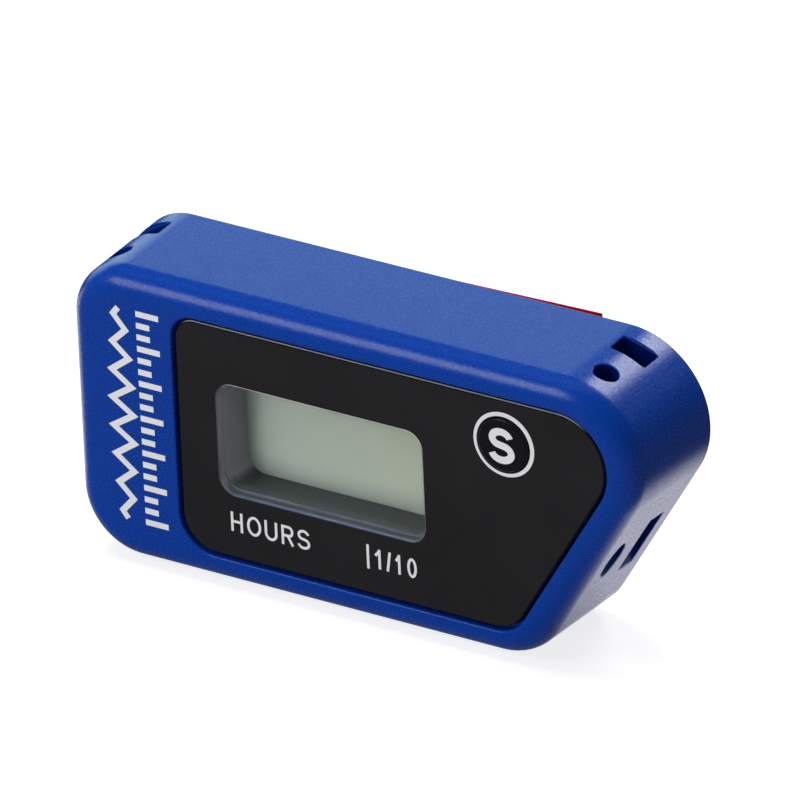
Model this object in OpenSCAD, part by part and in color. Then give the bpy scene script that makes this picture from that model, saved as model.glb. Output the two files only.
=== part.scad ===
// Self-powered vibration hour meter in a moulded case with one leaning end.
// Drawn lying on its back with the face up, then stood upright by upright().
// Depths ending in _at are measured backward from the front of the case's rim.

/* [Case] */
// lean of the right-hand end from upright, in degrees
slant = 31.5; // [30:0.5:32.5]
// rim between the panel and the case's top, bottom and leaning end
rim = 2.85; // [2.8:0.05:3.2]
// bottom left corner radius
corner_bl = 6.5; // [5.8:0.1:7.5]
// bottom right corner radius
corner_br = 6.3; // [5.8:0.1:7.5]
// top right corner radius
corner_tr = 8.2; // [7.6:0.1:8.8]
// top left corner radius
corner_tl = 5.7; // [5.5:0.1:6.5]
// rounding of the front edge
edge_round = 2.5; // [1.5:0.1:2.6]
// draft of the side walls, in degrees
draft = 1.5; // [0.5:0.1:2]
// wall between the panel's recess and the chamber
front_wall = 1; // [0.8:0.1:1.4]
// ledge around the chamber that carries the cover
ledge = 1.1; // [0.8:0.1:1.1]
// wall outside the ledge
skirt = 1.35; // [1.1:0.05:1.8]
// corner radius of the chamber
chamber_r = 1.8; // [1:0.1:2.5]

/* [Panel] */
// height of the panel
panel_h = 24.4; // [24.4:0.1:26]
// distance of the panel from the case's left end
panel_left = 11.7; // [11.2:0.1:12.2]
// thickness of the clear panel
panel_t = 0.8; // [0.5:0.1:1]
// thickness of the black film behind it
film_t = 0.15; // [0.1:0.05:0.25]
// film held back from the window's edge
film_clear = 0.5; // [0.3:0.1:0.7]
// how far the panel lies below the rim
panel_sink = 0.25; // [0.1:0.05:0.4]
// gap around the panel
panel_gap = 0.1; // [0.05:0.05:0.15]
// bottom left radius of the panel
panel_bl = 3.8; // [2.5:0.1:4.5]
// bottom right radius of the panel
panel_br = 3.6; // [2.5:0.1:4.5]
// top left radius of the panel
panel_tl = 2.4; // [1.5:0.1:3.5]

/* [Display] */
// width of the window
window_w = 22.7; // [20:0.1:23]
// height of the window
window_h = 11.6; // [10:0.1:12]
// corner radius of the window
window_r = 1.8; // [1:0.1:2.5]
// window's centre from the panel's left edge
window_in = 15.9; // [15.7:0.1:16.2]
// window's centre above the case's centre
window_up = 0.4; // [0:0.1:0.8]
// depth of the display behind the rim
lcd_at = 5.4; // [4.8:0.1:6]
// glass showing past the window on each side
glass_past = 1.8; // [1.4:0.1:2]
// rear glass showing past the window above and below
rear_past = 0.7; // [0.5:0.1:1]
// ledge of the front glass that carries its contacts
contact_ledge = 1.7; // [1.4:0.1:2]
// thickness of each glass
glass_t = 0.55; // [0.4:0.05:0.7]
// thickness of the front polariser
polariser_t = 0.2; // [0.15:0.05:0.3]
// polariser and reflector kept in from the glass edge
polariser_in = 0.4; // [0.2:0.1:0.6]
// thickness of the rear reflector
reflector_t = 0.15; // [0.1:0.05:0.25]
// height of the contact strips
contact_h = 1.65; // [1.5:0.05:2]
// width of the contact strips
contact_w = 1.2; // [0.8:0.1:1.2]
// contact strips kept in from the ends of the glass
contact_in = 1; // [0.5:0.1:1.5]
// corner radius of the display frame
frame_r = 1; // [0.5:0.1:1.5]
// wall of the frame's collar, which lines the window
collar_t = 0.9; // [0.6:0.1:1.2]
// rise of the collar's foot above the window's lower edge
collar_foot = 0.3; // [0.2:0.1:0.5]
// drop of the collar's opening below the window
collar_low = 0.1; // [0.1:0.05:0.3]
// gap between the collar and the case
collar_gap = 0.1; // [0.05:0.05:0.15]
// wall of the display frame around the glass
frame_wall = 1.2; // [0.8:0.1:1.3]
// play of the glass in its frame
glass_gap = 0.1; // [0.05:0.05:0.15]

/* [Button] */
// button's centre from the leaning end's upper corner centre
button_in = 5.75; // [5.2:0.05:6]
// button's centre below the panel's top edge
button_drop = 4.8; // [4.6:0.1:5.2]
// diameter of the cap
button_d = 5.4; // [4.5:0.1:5.8]
// running gap around the cap
button_gap = 0.1; // [0.06:0.02:0.1]
// height of the cap above the panel
button_rise = 0.3; // [0.25:0.05:0.4]
// stroke of the button
stroke = 0.25; // [0.1:0.05:0.25]
// width of the flange outside the cap
flange_w = 0.9; // [0.6:0.1:1]
// thickness of the flange
flange_t = 0.8; // [0.5:0.1:1]
// rounding of the cap's edge
button_soft = 0.25; // [0.15:0.05:0.4]
// play of the flange under the front wall
flange_play = 0.05; // [0.02:0.01:0.1]

/* [Switch] */
// width of the square switch
switch_w = 6; // [5.8:0.1:6.2]
// gap between the display frame and the switch's legs
switch_clear = 1.7; // [1.2:0.05:3]
// length of the switch's legs
leg_l = 1.3; // [1:0.1:1.6]
// width of the switch's legs
leg_w = 0.8; // [0.6:0.1:1]
// thickness of the switch's legs
leg_t = 0.2; // [0.15:0.05:0.3]
// legs' distance from the switch's centre line
leg_up = 2.2; // [2:0.1:2.4]
// height of the plunger above the switch's plate
plunger_rise = 1.05; // [0.8:0.05:1.2]
// diameter of the plunger
plunger_d = 3.4; // [3:0.1:3.5]
// running gap around the plunger
plunger_gap = 0.08; // [0.04:0.02:0.1]
// thickness of the plate and its skirts
plate_t = 0.3; // [0.2:0.05:0.4]
// depth of the plate's skirts
skirt_h = 1.9; // [1.5:0.1:2.2]
// width of the plate's skirts
skirt_w = 3.6; // [3:0.1:4]
// diameter of the switch's well
well_d = 4.8; // [4.7:0.1:5]
// thickness of the plunger's foot
foot_t = 0.7; // [0.5:0.1:0.9]
// gap between the well and what lies in it
well_gap = 0.15; // [0.1:0.05:0.2]
// play of the plunger's foot under the plate
foot_play = 0.05; // [0.02:0.01:0.1]
// height of the plunger's nub
nub_h = 0.3; // [0.2:0.05:0.4]
// diameter of the plunger's nub
nub_d = 1.6; // [1.2:0.1:2]
// height of the snap dome
dome_h = 0.45; // [0.35:0.05:0.6]
// thickness of the snap dome
dome_t = 0.1; // [0.08:0.02:0.14]

/* [Tie channels] */
// left channels' centre from the case's left end
left_in = 2.9; // [2.8:0.1:3.2]
// right channels' centre from the case's right end
right_in = 5.6; // [5.2:0.1:5.8]
// depth of the round channels behind the rim
hole_at = 5.05; // [4.8:0.05:5.4]
// diameter of the round channels
hole_d = 2.4; // [2:0.1:2.6]
// depth of the flat channels behind the rim
slot_at = 9.95; // [9.6:0.05:10.3]
// length of the flat channels
slot_l = 3.7; // [3.2:0.1:3.9]
// width of the flat channels
slot_w = 2.5; // [2:0.1:2.7]
// wall between the channels and the chamber
channel_wall = 1.25; // [1.2:0.05:1.5]

/* [Board] */
// thickness of the circuit board
board_t = 1; // [0.8:0.1:1.2]
// gap between the board and the chamber
board_gap = 0.3; // [0.2:0.05:0.4]
// diameter of the screw bosses
boss_d = 4; // [3.6:0.1:4.4]
// bosses' distance from the chamber's end walls
boss_in = 2.7; // [2.6:0.1:3.2]
// left bosses' distance from the chamber's top and bottom walls
boss_drop = 3; // [2.8:0.1:3.4]
// right boss's height above the case's centre
boss_mid = 0.2; // [-0.4:0.1:0.4]
// diameter of the screws
screw_d = 1.6; // [1.4:0.1:1.8]
// gap of the screws in their bosses
screw_gap = 0.03; // [0.02:0.01:0.05]
// gap of the screws in the board
screw_play = 0.2; // [0.15:0.05:0.3]
// diameter of the screw heads
head_d = 3.2; // [2.8:0.1:3.4]
// height of the screw heads
head_h = 1; // [0.7:0.1:1.2]
// length of the screws below their heads
screw_l = 5; // [4:0.5:5.5]
// room below the screws' ends
screw_room = 0.5; // [0.3:0.1:0.7]
// length of the screws' cross
cross_l = 1.8; // [1.4:0.1:2]
// width of the screws' cross
cross_w = 0.4; // [0.3:0.05:0.5]
// depth of the screws' cross
cross_h = 0.6; // [0.4:0.1:0.6]

/* [Cell] */
// diameter of the coin cell
cell_d = 20; // [18:0.5:20]
// thickness of the coin cell
cell_h = 3.2; // [2.5:0.1:3.2]
// thickness of the cell's tabs
tab_t = 0.1; // [0.08:0.02:0.14]
// width of the cell's tabs
tab_w = 4; // [3:0.5:5]
// positive tab's distance from the side of the cell
tab_out = 0.6; // [0.3:0.1:1]
// length of the tabs' soldered feet
tab_foot = 2; // [1.5:0.1:2.5]
// negative tab's reach past the cell's centre
tab_reach = 3.4; // [2:0.1:5]
// cell's centre to the left of the window's centre
cell_in = 3.4; // [3:0.1:4]
// rounding of the cell's crimped edge
cell_round = 0.5; // [0.3:0.1:0.7]
// height of the cell's cap above its crimp
cell_step = 0.4; // [0.2:0.1:0.5]
// cell's cap kept in from the cell's side
cell_cap_in = 1.3; // [1:0.1:1.6]
// clearance between the tab and the cover
cell_play = 0.1; // [0.05:0.05:0.3]

/* [Parts on the board] */
// diameter of the resin over the controller
blob_d = 7.6; // [6:0.2:8]
// height of the resin over the controller
blob_h = 1.3; // [1:0.1:1.6]
// resin's centre above the case's centre
blob_up = 7; // [6.5:0.1:7.5]
// diameter of the clock crystal
crystal_d = 2; // [1.6:0.1:2.2]
// length of the clock crystal
crystal_l = 6; // [5:0.2:6.2]
// diameter of the crystal's leads
crystal_lead_d = 0.25; // [0.2:0.05:0.3]
// length of the crystal's leads
crystal_lead_l = 1.3; // [1:0.1:1.5]
// spacing of the crystal's leads
crystal_pitch = 0.7; // [0.6:0.05:0.8]
// crystal's centre below the case's centre
crystal_drop = 5; // [4.5:0.1:5.5]
// gap between the crystal and the board
crystal_gap = 0.05; // [0.03:0.01:0.1]
// width of the chip parts
chip_w = 0.8; // [0.6:0.1:1]
// length of the chip parts
chip_l = 1.6; // [1.4:0.1:2]
// height of the chip parts
chip_h = 0.6; // [0.4:0.1:0.8]
// spacing of the chip parts
chip_pitch = 2; // [1.6:0.1:2]

/* [Sensor] */
// diameter of the vibration sensor's can
can_d = 4.6; // [4.4:0.1:4.7]
// length of the can
can_l = 10.5; // [9.5:0.5:10.5]
// wall of the can
can_t = 0.25; // [0.2:0.05:0.3]
// gap between the can and its neighbours
can_gap = 0.06; // [0.04:0.02:0.1]
// diameter of the sensor's leads
lead_d = 0.6; // [0.5:0.05:0.7]
// gap of the leads in the board
lead_gap = 0.1; // [0.05:0.05:0.15]
// leads' distance past the can's ends
lead_out = 0.9; // [0.7:0.1:1]
// leads' length behind the board
lead_tail = 0.5; // [0.3:0.1:0.8]
// gap between the display frame and the can
can_clear = 0.6; // [0.4:0.1:0.8]
// can's foot above the chamber's bottom wall
can_up = 3.2; // [2.6:0.1:3.4]
// length of the plug in the can
plug_l = 1.5; // [1:0.1:1.8]
// length of the plug's spigot inside the coil
spigot_l = 0.9; // [0.6:0.1:1.2]
// gap between the plug's spigot and the coil, and its bore and the pin
spigot_gap = 0.01; // [0.01:0.01:0.03]
// gap between the coil or the pin and the can's end
tip_gap = 1; // [0.8:0.1:1.4]
// mean diameter of the trembler coil
coil_d = 2.6; // [2.2:0.1:2.8]
// wire of the trembler coil
wire_d = 0.3; // [0.2:0.02:0.34]

/* [Back] */
// thickness of the back cover
cover_t = 1.2; // [1:0.1:1.6]
// gap around the back cover
cover_gap = 0.1; // [0.05:0.05:0.15]
// thickness of the sealing frame under the cover
seal_t = 0.15; // [0.1:0.05:0.2]
// width of the adhesive pad's liner
pad_w = 38.9; // [30:0.1:44]
// height of the adhesive pad's liner
pad_h = 25.4; // [20:0.1:26]
// liner showing past the foam
pad_past = 0.6; // [0.3:0.1:1]
// thickness of the foam
foam_t = 1; // [0.5:0.1:1.5]
// thickness of the liner
liner_t = 0.1; // [0.05:0.05:0.15]
// how far the pad sits above the case's centre
pad_rise = 1.85; // [0:0.05:2]
// how far the pad is turned, in degrees
pad_turn = 1.4; // [0:0.1:3]

/* [Hidden] */
$fn = 64;
far = 100;
over = 0.1;
body_h = panel_h + 2 * rim;
core = 2 * edge_round + over;
film_at = panel_sink + panel_t;
wall_at = film_at + film_t;
chamber_at = wall_at + front_wall;
glass_at = lcd_at + polariser_t;
rear_at = glass_at + glass_t;
reflector_at = rear_at + glass_t;
board_at = rear_at + contact_h;
tab_at = board_at + board_t;
cell_at = tab_at + tab_t;
cell_top_at = cell_at + cell_h;
cover_at = cell_top_at + tab_t + cell_play;
seal_at = cover_at - seal_t;
body_d = cover_at + cover_t;
z_back = foam_t + liner_t;
z_front = z_back + body_d;
glass_w = window_w + 2 * glass_past;
rear_h = window_h + 2 * rear_past;
front_h = rear_h + 2 * contact_ledge;
frame_w = glass_w + 2 * glass_gap + 2 * frame_wall;
frame_h = front_h + 2 * glass_gap + 2 * frame_wall;
button_off = frame_w / 2 + switch_clear + leg_l + switch_w / 2;
body_w = panel_left + window_in + button_off + button_in + corner_tr;
slant_reach = side(-slant) * [body_w / 2 - corner_tr, body_h / 2 - corner_tr] + corner_tr;
body_sides = [[180, body_w / 2], [270, body_h / 2], [360 - slant, slant_reach], [450, body_h / 2]];
body_radii = [corner_bl, corner_br, corner_tr, corner_tl];
panel_sides = [[180, body_w / 2 - panel_left], [270, panel_h / 2], [360 - slant, slant_reach - rim],
  [450, panel_h / 2]];
panel_radii = [panel_bl, panel_br, corner_tr - rim, panel_tl];
left_x = left_in - body_w / 2;
right_x = body_w / 2 - right_in;
wall = ledge + skirt;
chamber_left = -left_x - slot_l / 2 - channel_wall;
chamber_right = right_x - slot_l / 2 - channel_wall;
chamber_up = body_h / 2 - wall;
chamber_sides = [[180, chamber_left], [270, chamber_up], [360 - slant, slant_reach - wall],
  [360, chamber_right], [450, chamber_up]];
chamber_radii = [chamber_r, chamber_r, chamber_r, chamber_r, chamber_r];
window_x = panel_left - body_w / 2 + window_in;
button_x = window_x + button_off;
button_up = panel_h / 2 - button_drop;
button_foot_at = chamber_at + flange_play + flange_t;
plate_at = button_foot_at + plunger_rise;
base_at = plate_at + plate_t;
foot_at = base_at + foot_play;
dome_at = foot_at + foot_t + nub_h;
well_at = dome_at + dome_h;
cell_x = window_x - cell_in;
boss_left = boss_in - chamber_left;
boss_spots = [[boss_left, chamber_up - boss_drop], [boss_left, boss_drop - chamber_up],
  [chamber_right - boss_in, boss_mid]];
can_x = window_x + frame_w / 2 + can_d / 2 + can_clear;
can_at = board_at - can_gap - can_d / 2;
can_foot = can_up - chamber_up;
pin_y = can_foot - lead_out;
tail_y = can_foot + can_l + lead_out;
pilot_d = screw_d + 2 * screw_gap;

function side(a) = [cos(a), sin(a)];
function flat(c) = [c.x, c.y];
function corner(s, t, r) = let (n = side(s[0]), m = side(t[0]), e = s[1] - r, f = t[1] - r,
  d = n.x * m.y - n.y * m.x) [(e * m.y - f * n.y) / d, (n.x * f - m.x * e) / d];
function corners(sides, radii) = [for (i = [0 : len(sides) - 1])
  corner(sides[i], sides[(i + 1) % len(sides)], radii[i])];

module upright() {
  rotate([90, 0, 0]) translate([0, -pad_rise, 0]) children();
}

module layer(depth, thick) {
  translate([0, 0, z_front - depth - thick]) linear_extrude(thick) children();
}

module at(x, y, depth) {
  translate([x, y, z_front - depth]) children();
}

// Straight sides joined by true arcs, grown or shrunk by grow.
module outline(sides, radii, grow = 0) {
  n = len(sides);
  c = corners(sides, radii);
  polygon([for (i = [0 : n - 1]) for (k = [0, 1]) c[i] + (radii[i] + grow) * side(sides[(i + k) % n][0])]);
  for (i = [0 : n - 1]) translate(c[i]) circle(radii[i] + grow);
}

module rounded(w, h, r) {
  square([w - 2 * r, h], center = true);
  square([w, h - 2 * r], center = true);
  for (x = [-1, 1]) for (y = [-1, 1]) translate([x * (w / 2 - r), y * (h / 2 - r)]) circle(r);
}

// Section of the case's edge: front rounding running into the drafted side.
module edge_section() {
  inner = edge_round * (tan(draft) - 1 / cos(draft));
  polygon([[-core, 0], [inner, 0], [inner + edge_round * cos(draft), -edge_round * (1 - sin(draft))],
    [body_d * tan(draft), -body_d], [-core, -body_d]]);
  translate([inner, -edge_round]) circle(edge_round);
}

// One post for each corner, turned from the edge section, and a skin stretched round all four.
module moulded_block() {
  c = corners(body_sides, body_radii);
  hull() for (i = [0 : len(c) - 1])
    at(c[i].x, c[i].y, 0) rotate_extrude($fn = 96) translate([body_radii[i], 0]) edge_section();
}

module tie_channels() {
  for (x = [left_x, right_x]) {
    at(x, -far / 2, hole_at) rotate([-90, 0, 0]) cylinder(d = hole_d, h = far);
    at(x - slot_l / 2, -far / 2, slot_at + slot_w / 2) cube([slot_l, far, slot_w]);
  }
}

module bosses() {
  for (p = boss_spots) at(p.x, p.y, board_at) cylinder(d = boss_d, h = board_at - chamber_at + over);
}

module pilot_holes() {
  for (p = boss_spots)
    at(p.x, p.y, board_at + over) cylinder(d = pilot_d, h = screw_l - board_t + screw_room + over);
}

// A hole for the button, through a layer whose back lies at depth.
module button_hole(depth, thick, gap) {
  at(button_x, button_up, depth + over) cylinder(d = button_d + 2 * gap, h = thick + 2 * over);
}

module window_hole(depth, thick, grow = 0) {
  layer(depth - over, thick + 2 * over) translate([window_x, window_up])
    rounded(window_w + 2 * grow, window_h + 2 * grow, window_r + grow);
}

// Opening for the frame's collar: wider and higher than the window, and a little lower at the foot.
module collar_shape(grow) {
  translate([window_x, window_up + (collar_t - collar_low) / 2])
    rounded(window_w + 2 * collar_t + 2 * grow, window_h + collar_t + collar_low + 2 * grow, window_r);
}

module housing() {
  color([0.05, 0.2, 0.6]) upright() difference() {
    moulded_block();
    layer(-over, over + wall_at) outline(panel_sides, panel_radii, panel_gap);
    layer(wall_at - over, front_wall + 2 * over) collar_shape(0);
    button_hole(chamber_at, front_wall, button_gap);
    difference() {
      layer(chamber_at, body_d - chamber_at + over) outline(chamber_sides, chamber_radii);
      bosses();
    }
    layer(seal_at, body_d - seal_at + 2 * over) outline(chamber_sides, chamber_radii, ledge);
    pilot_holes();
    tie_channels();
  }
}

module front_panel() {
  color([0.8, 0.85, 0.9, 0.4]) upright() difference() {
    layer(panel_sink, panel_t) outline(panel_sides, panel_radii);
    button_hole(film_at, panel_t, button_gap);
  }
}

module panel_film() {
  color([0.03, 0.03, 0.04]) upright() difference() {
    layer(film_at, film_t) outline(panel_sides, panel_radii, -panel_gap);
    window_hole(film_at, film_t, film_clear);
    button_hole(wall_at, film_t, 2 * button_gap);
  }
}

module set_button() {
  top = button_foot_at - panel_sink + button_rise;
  r = button_d / 2;
  color([0.05, 0.05, 0.06]) upright() at(button_x, button_up, button_foot_at) rotate_extrude() {
    square([r, top - button_soft]);
    square([r - button_soft, top]);
    translate([r - button_soft, top - button_soft]) circle(button_soft);
    square([r + flange_w, flange_t]);
  }
}

// A flat sheet centred on the window.
module window_sheet(depth, thick, w, h) {
  layer(depth, thick) translate([window_x, window_up]) square([w, h], center = true);
}

module lcd_frame() {
  color([0.16, 0.16, 0.17]) upright() difference() {
    union() {
      difference() {
        layer(chamber_at, board_at - chamber_at) translate([window_x, window_up]) rounded(frame_w, frame_h, frame_r);
        window_hole(chamber_at, lcd_at - chamber_at);
      }
      difference() {
        layer(wall_at + collar_gap, front_wall) collar_shape(-collar_gap);
        layer(wall_at, front_wall + collar_gap + over) translate([window_x, window_up + collar_foot / 2])
          rounded(window_w, window_h - collar_foot, window_r);
      }
    }
    window_sheet(lcd_at, board_at - lcd_at + over, glass_w + 2 * glass_gap, front_h + 2 * glass_gap);
  }
}

module lcd_polariser() {
  color([0.62, 0.66, 0.6]) upright() window_sheet(lcd_at, polariser_t, glass_w - 2 * polariser_in, rear_h);
}

module lcd_front_glass() {
  color([0.8, 0.88, 0.86, 0.5]) upright() window_sheet(glass_at, glass_t, glass_w, front_h);
}

module lcd_rear_glass() {
  color([0.78, 0.86, 0.84, 0.5]) upright() window_sheet(rear_at, glass_t, glass_w, rear_h);
}

module lcd_reflector() {
  color([0.8, 0.8, 0.78]) upright()
    window_sheet(reflector_at, reflector_t, glass_w - 2 * polariser_in, rear_h - 2 * polariser_in);
}

module contact_strips() {
  color([0.75, 0.72, 0.7]) upright() for (y = [-1, 1]) translate([0, y * (rear_h + contact_ledge) / 2, 0])
    window_sheet(rear_at, contact_h, glass_w - 2 * contact_in, contact_w);
}

module circuit_board() {
  color([0.05, 0.35, 0.15]) upright() difference() {
    layer(board_at, board_t) outline(chamber_sides, chamber_radii, -board_gap);
    for (p = boss_spots)
      at(p.x, p.y, tab_at + over) cylinder(d = screw_d + 2 * screw_play, h = board_t + 2 * over);
    for (y = [pin_y, tail_y])
      at(can_x, y, tab_at + over) cylinder(d = lead_d + 2 * lead_gap, h = board_t + 2 * over);
  }
}

module board_screws() {
  color([0.7, 0.7, 0.72]) upright() for (p = boss_spots) at(p.x, p.y, tab_at) difference() {
    union() {
      cylinder(d = screw_d, h = screw_l);
      translate([0, 0, -head_h]) cylinder(d1 = head_d - head_h / 2, d2 = head_d, h = head_h);
    }
    for (a = [0, 90]) rotate(a) translate([-cross_l / 2, -cross_w / 2, -head_h - over])
      cube([cross_l, cross_w, cross_h + over]);
  }
}

module switch_base() {
  color([0.08, 0.08, 0.08]) upright() difference() {
    layer(base_at, board_at - base_at) translate([button_x, button_up]) square(switch_w, center = true);
    at(button_x, button_up, well_at) cylinder(d = well_d, h = well_at - base_at + over);
  }
}

module switch_plate() {
  color([0.72, 0.72, 0.74]) upright() difference() {
    union() {
      layer(plate_at, plate_t) translate([button_x, button_up])
        square([switch_w + 2 * plate_t, switch_w], center = true);
      for (x = [-1, 1]) layer(plate_at, skirt_h)
        translate([button_x + x * (switch_w + plate_t) / 2, button_up]) square([plate_t, skirt_w], center = true);
    }
    at(button_x, button_up, base_at + over) cylinder(d = plunger_d + 2 * plunger_gap, h = plate_t + 2 * over);
  }
}

module switch_dome() {
  half = well_d / 2 - well_gap;
  big = (half * half + dome_h * dome_h) / (2 * dome_h);
  color([0.85, 0.8, 0.65]) upright() at(button_x, button_up, well_at) rotate_extrude() intersection() {
    translate([0, dome_h - big]) difference() {
      circle(big, $fn = 256);
      circle(big - dome_t, $fn = 256);
    }
    square([half, dome_h]);
  }
}

module switch_plunger() {
  color([0.12, 0.12, 0.12]) upright() at(button_x, button_up, dome_at) rotate_extrude() {
    square([nub_d / 2, dome_at - foot_at]);
    translate([0, nub_h]) square([well_d / 2 - well_gap, foot_t]);
    translate([0, nub_h]) square([plunger_d / 2, dome_at - nub_h - button_foot_at]);
  }
}

module switch_legs() {
  color([0.75, 0.75, 0.76]) upright() for (x = [-1, 1]) for (y = [-1, 1]) layer(board_at - leg_t, leg_t)
    translate([button_x + x * (switch_w + leg_l) / 2, button_up + y * leg_up]) square([leg_l, leg_w], center = true);
}

module coin_cell() {
  r = cell_d / 2;
  crimp = cell_h - cell_step;
  color([0.76, 0.77, 0.78]) upright() at(cell_x, 0, cell_top_at) rotate_extrude() {
    square([r, crimp - cell_round]);
    square([r - cell_round, crimp]);
    translate([r - cell_round, crimp - cell_round]) circle(cell_round);
    square([r - cell_cap_in, cell_h]);
  }
}

module cell_tab_positive() {
  run = cell_d / 2 + tab_out;
  color([0.8, 0.79, 0.75]) upright() at(cell_x, tab_w / 2, cell_top_at + tab_t) rotate([90, 0, 0])
    linear_extrude(tab_w) {
      square([run, tab_t]);
      translate([run - tab_t, 0]) square([tab_t, cell_h + 2 * tab_t]);
      translate([run - tab_t, cell_h + tab_t]) square([tab_foot, tab_t]);
    }
}

module cell_tab_negative() {
  color([0.8, 0.79, 0.75]) upright() layer(tab_at, tab_t)
    translate([cell_x - cell_d / 2 - tab_foot, -tab_w / 2]) square([cell_d / 2 + tab_foot + tab_reach, tab_w]);
}

module controller_blob() {
  half = blob_d / 2;
  big = (half * half + blob_h * blob_h) / (2 * blob_h);
  color([0.04, 0.04, 0.04]) upright() at(can_x - can_d / 3, blob_up, tab_at) mirror([0, 0, 1]) rotate_extrude()
    intersection() {
      translate([0, blob_h - big]) circle(big, $fn = 128);
      square([half, blob_h]);
    }
}

module clock_crystal() {
  drop = crystal_d / 2 + crystal_gap;
  color([0.7, 0.71, 0.72]) upright() at(can_x - crystal_l, -crystal_drop, tab_at + drop)
    rotate([0, 90, 0]) {
      cylinder(d = crystal_d, h = crystal_l);
      for (y = [-1, 1]) translate([0, y * crystal_pitch / 2, crystal_l - over])
        cylinder(d = crystal_lead_d, h = crystal_lead_l + over);
      for (y = [-1, 1]) translate([0, y * crystal_pitch / 2, crystal_l + crystal_lead_l - crystal_lead_d / 2])
        rotate([0, -90, 0]) cylinder(d = crystal_lead_d, h = drop);
    }
}

module chip_parts() {
  color([0.55, 0.45, 0.35]) upright() for (i = [0 : 4]) layer(tab_at, chip_h)
    translate([can_x - can_d + (i - 1) * chip_pitch, boss_mid]) square([chip_w, chip_l], center = true);
}

module along_can() {
  at(can_x, can_foot, can_at) rotate([-90, 0, 0]) children();
}

// A lead that turns down through the board at y.
module lead_down(y) {
  at(can_x, y, tab_at + lead_tail) cylinder(d = lead_d, h = tab_at + lead_tail - can_at);
}

module sensor_can() {
  color([0.75, 0.75, 0.73]) upright() {
    along_can() difference() {
      cylinder(d = can_d, h = can_l);
      translate([0, 0, -over]) cylinder(d = can_d - 2 * can_t, h = can_l - can_t + over);
    }
    along_can() translate([0, 0, can_l - can_t / 2]) cylinder(d = lead_d, h = lead_out + can_t / 2 + lead_d / 2);
    lead_down(tail_y);
  }
}

module sensor_plug() {
  color([0.2, 0.2, 0.2]) upright() along_can() difference() {
    union() {
      cylinder(d = can_d - 2 * can_t, h = plug_l);
      cylinder(d = coil_d - wire_d - 2 * spigot_gap, h = plug_l + spigot_l);
    }
    translate([0, 0, -over]) cylinder(d = lead_d + 2 * spigot_gap, h = plug_l + spigot_l + 2 * over);
  }
}

module sensor_pin() {
  start = -lead_out - lead_d / 2;
  color([0.8, 0.7, 0.4]) upright() {
    along_can() translate([0, 0, start]) cylinder(d = lead_d, h = can_l - can_t - tip_gap - start);
    lead_down(pin_y);
  }
}

// Trembler coil as a wire swept along a helix.
module sensor_coil() {
  turns = 9;
  steps = 16;
  ring = 6;
  rise = (can_l - can_t - plug_l - wire_d - tip_gap) / turns;
  spots = [for (i = [0 : turns * steps]) for (k = [0 : ring - 1])
    let (a = 360 * i / steps, b = 360 * k / ring, q = coil_d / 2 + wire_d / 2 * cos(b))
    [q * cos(a), q * sin(a), rise * i / steps + wire_d / 2 * sin(b)]];
  skin = [for (i = [0 : turns * steps - 1]) for (k = [0 : ring - 1]) let (m = (k + 1) % ring)
    [i * ring + k, i * ring + ring + k, i * ring + ring + m, i * ring + m]];
  tail = turns * steps * ring;
  color([0.8, 0.78, 0.7]) upright() along_can() translate([0, 0, plug_l + wire_d / 2])
    polyhedron(spots, concat(skin, [[for (k = [0 : ring - 1]) k], [for (k = [ring - 1 : -1 : 0]) tail + k]]));
}

module cover_seal() {
  color([0.1, 0.1, 0.1]) upright() difference() {
    layer(seal_at, seal_t) outline(chamber_sides, chamber_radii, ledge - 2 * cover_gap);
    layer(seal_at - over, seal_t + 2 * over) outline(chamber_sides, chamber_radii, cover_gap);
  }
}

module back_cover() {
  color([0.05, 0.2, 0.58]) upright()
    layer(cover_at, cover_t) outline(chamber_sides, chamber_radii, ledge - cover_gap);
}

module pad(shrink) {
  translate([0, pad_rise]) rotate(pad_turn) square([pad_w - 2 * shrink, pad_h - 2 * shrink], center = true);
}

module mounting_foam() {
  color([0.85, 0.85, 0.85]) upright() layer(body_d, foam_t) pad(pad_past);
}

module tape_liner() {
  color([0.8, 0.05, 0.08]) upright() layer(body_d + foam_t, liner_t) pad(0);
}

housing();
front_panel();
panel_film();
set_button();
lcd_frame();
lcd_polariser();
lcd_front_glass();
lcd_rear_glass();
lcd_reflector();
contact_strips();
circuit_board();
board_screws();
switch_base();
switch_plate();
switch_dome();
switch_plunger();
switch_legs();
coin_cell();
cell_tab_positive();
cell_tab_negative();
controller_blob();
clock_crystal();
chip_parts();
sensor_can();
sensor_plug();
sensor_pin();
sensor_coil();
cover_seal();
back_cover();
mounting_foam();
tape_liner();
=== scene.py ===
import math

import bmesh
import bpy
from mathutils import Matrix, Vector


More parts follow.
